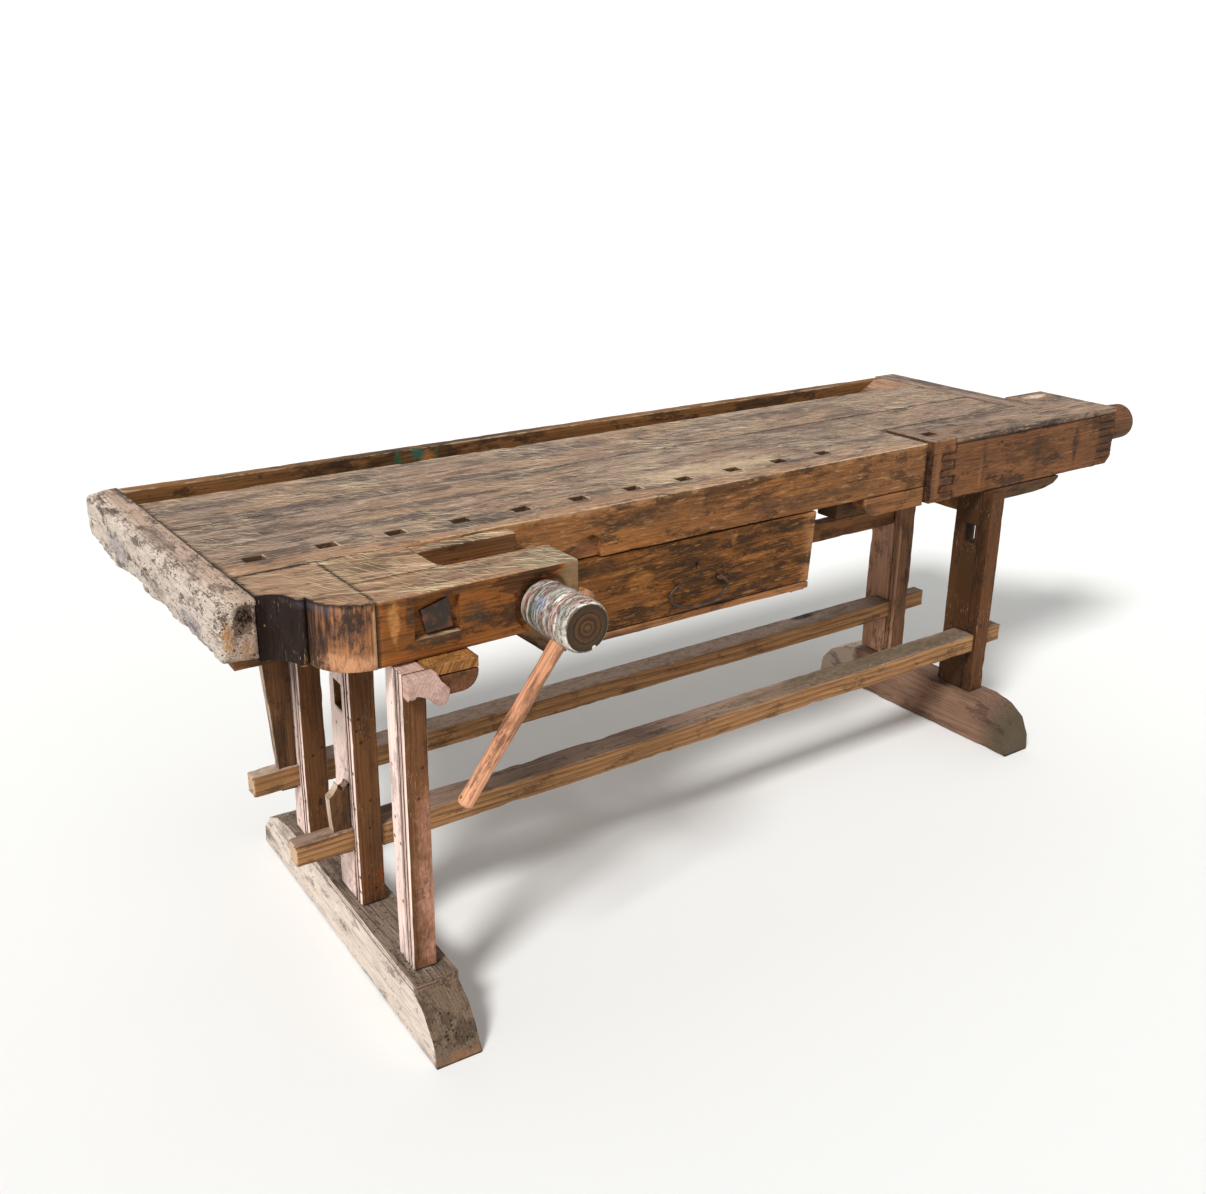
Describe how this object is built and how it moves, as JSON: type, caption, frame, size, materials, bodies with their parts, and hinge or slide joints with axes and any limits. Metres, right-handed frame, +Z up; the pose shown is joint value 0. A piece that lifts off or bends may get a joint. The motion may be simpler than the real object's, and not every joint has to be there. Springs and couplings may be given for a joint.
{
  "type": "carpenters workbench",
  "caption": "Old wooden joiner's bench on two sled-foot trestles, with a shoulder vise, a tail vise, a dog-hole strip, a tool tray and a drawer.",
  "frame": {"origin": "centre of the bounding box at floor level", "axes": "+X along the bench towards the tail vise, +Y towards the back and the tool tray, +Z up"},
  "size_m": [2.5032, 0.9759, 0.77],
  "materials": {
    "worn_top": "grey-brown worn hardwood, scratched and oil stained",
    "orange_edge": "orange-brown worn hardwood, dark stains",
    "bleached_end": "bleached, worm-eaten hardwood",
    "pine": "bare pine with a strong grain",
    "pink_leg": "pinkish bare wood",
    "grey_foot": "weathered grey wood",
    "red_brown": "dark red-brown aged wood",
    "pale_board": "pale yellow board",
    "handle_wood": "smooth pinkish-orange turned wood",
    "flaking_paint": "turned wood with flaking grey-green paint",
    "dark_iron": "dark forged iron"
  },
  "bodies": {
    "root": {"front_plank": "worn_top", "rear_plank": "worn_top", "right_end_cap": "worn_top", "shoulder_spacer": "worn_top", "strip_cleat": "orange_edge", "shoulder_block": "orange_edge", "shoulder_arm": "orange_edge", "left_end_cap": "bleached_end", "tray_board": "pine", "tray_back_rail": "pine", "tail_nut_block": "pine", "tail_rail_keeper": "pine", "front_stretcher": "pine", "rear_stretcher": "pine", "left_bearer_board": "pine", "left_top_bearer": "pine", "right_front_leg": "pine", "right_top_rail": "pine", "right_top_bearer": "pine", "rear_wedge": "pine", "front_wedge": "pine", "drawer_runner_left": "pine", "drawer_runner_right": "pine", "tray_ramp": "pink_leg", "left_vise_post": "pink_leg", "post_corbel": "pink_leg", "left_front_leg": "pink_leg", "left_rear_leg": "pink_leg", "right_rear_leg": "pink_leg", "left_foot": "grey_foot", "right_foot": "grey_foot", "strip_block": "red_brown", "drawer_back_rail": "red_brown", "left_top_rail": "red_brown", "tail_vise_shoe": "red_brown", "left_packing_board": "pale_board", "shoulder_bolt": "dark_iron"},
    "drawer": {"drawer_bottom": "pale_board", "drawer_front": "red_brown", "drawer_side_left": "pine", "drawer_side_right": "pine", "drawer_back": "pine", "drawer_lock": "dark_iron", "bail_lug_left": "dark_iron", "bail_lug_right": "dark_iron"},
    "bail": {"drawer_bail": "dark_iron"},
    "tail_carriage": {"tail_jaw": "orange_edge", "tail_end_block": "orange_edge", "tail_front_board": "orange_edge", "tail_top_board": "worn_top", "tail_guide_rail": "pine", "tail_end_pin": "red_brown", "tail_garter_key": "pine"},
    "tail_screw": {"tail_screw": "red_brown"},
    "shoulder_chop": {"shoulder_chop": "orange_edge"},
    "shoulder_screw": {"shoulder_screw": "flaking_paint"},
    "shoulder_handle": {"shoulder_handle": "handle_wood", "handle_peg_upper": "pale_board", "handle_peg_lower": "pale_board"}
  },
  "joints": [
    {"name": "drawer_slide", "type": "slide", "parent": "root", "child": "drawer", "axis": [0, -1, 0], "range_m": [0, 0.17]},
    {"name": "bail_swing", "type": "hinge", "parent": "drawer", "child": "bail", "pos_m": [-0.23965, -0.13665, 0.5765], "axis": [-1, 0, 0], "range_deg": [0, 110]},
    {"name": "tail_vise_slide", "type": "slide", "parent": "root", "child": "tail_carriage", "axis": [1, 0, 0], "range_m": [0, 0.16]},
    {"name": "tail_screw_turn", "type": "hinge", "parent": "tail_carriage", "child": "tail_screw", "pos_m": [1.18535, -0.05165, 0.705], "axis": [1, 0, 0], "range_deg": [0, 4536]},
    {"name": "shoulder_chop_slide", "type": "slide", "parent": "root", "child": "shoulder_chop", "axis": [0, -1, 0], "range_m": [0, 0.085]},
    {"name": "shoulder_screw_turn", "type": "hinge", "parent": "shoulder_chop", "child": "shoulder_screw", "pos_m": [-0.74665, -0.34865, 0.705], "axis": [0, -1, 0], "range_deg": [0, 2400]},
    {"name": "handle_slide", "type": "slide", "parent": "shoulder_screw", "child": "shoulder_handle", "axis": [0.6018, 0, 0.7986], "range_m": [0, 0.275]}
  ],
  "couplings": [
    {"joint": "tail_screw_turn", "follows": "tail_vise_slide", "rad_per_m": 494.74},
    {"joint": "shoulder_chop_slide", "follows": "shoulder_screw_turn", "m_per_rad": 0.0020213}
  ]
}
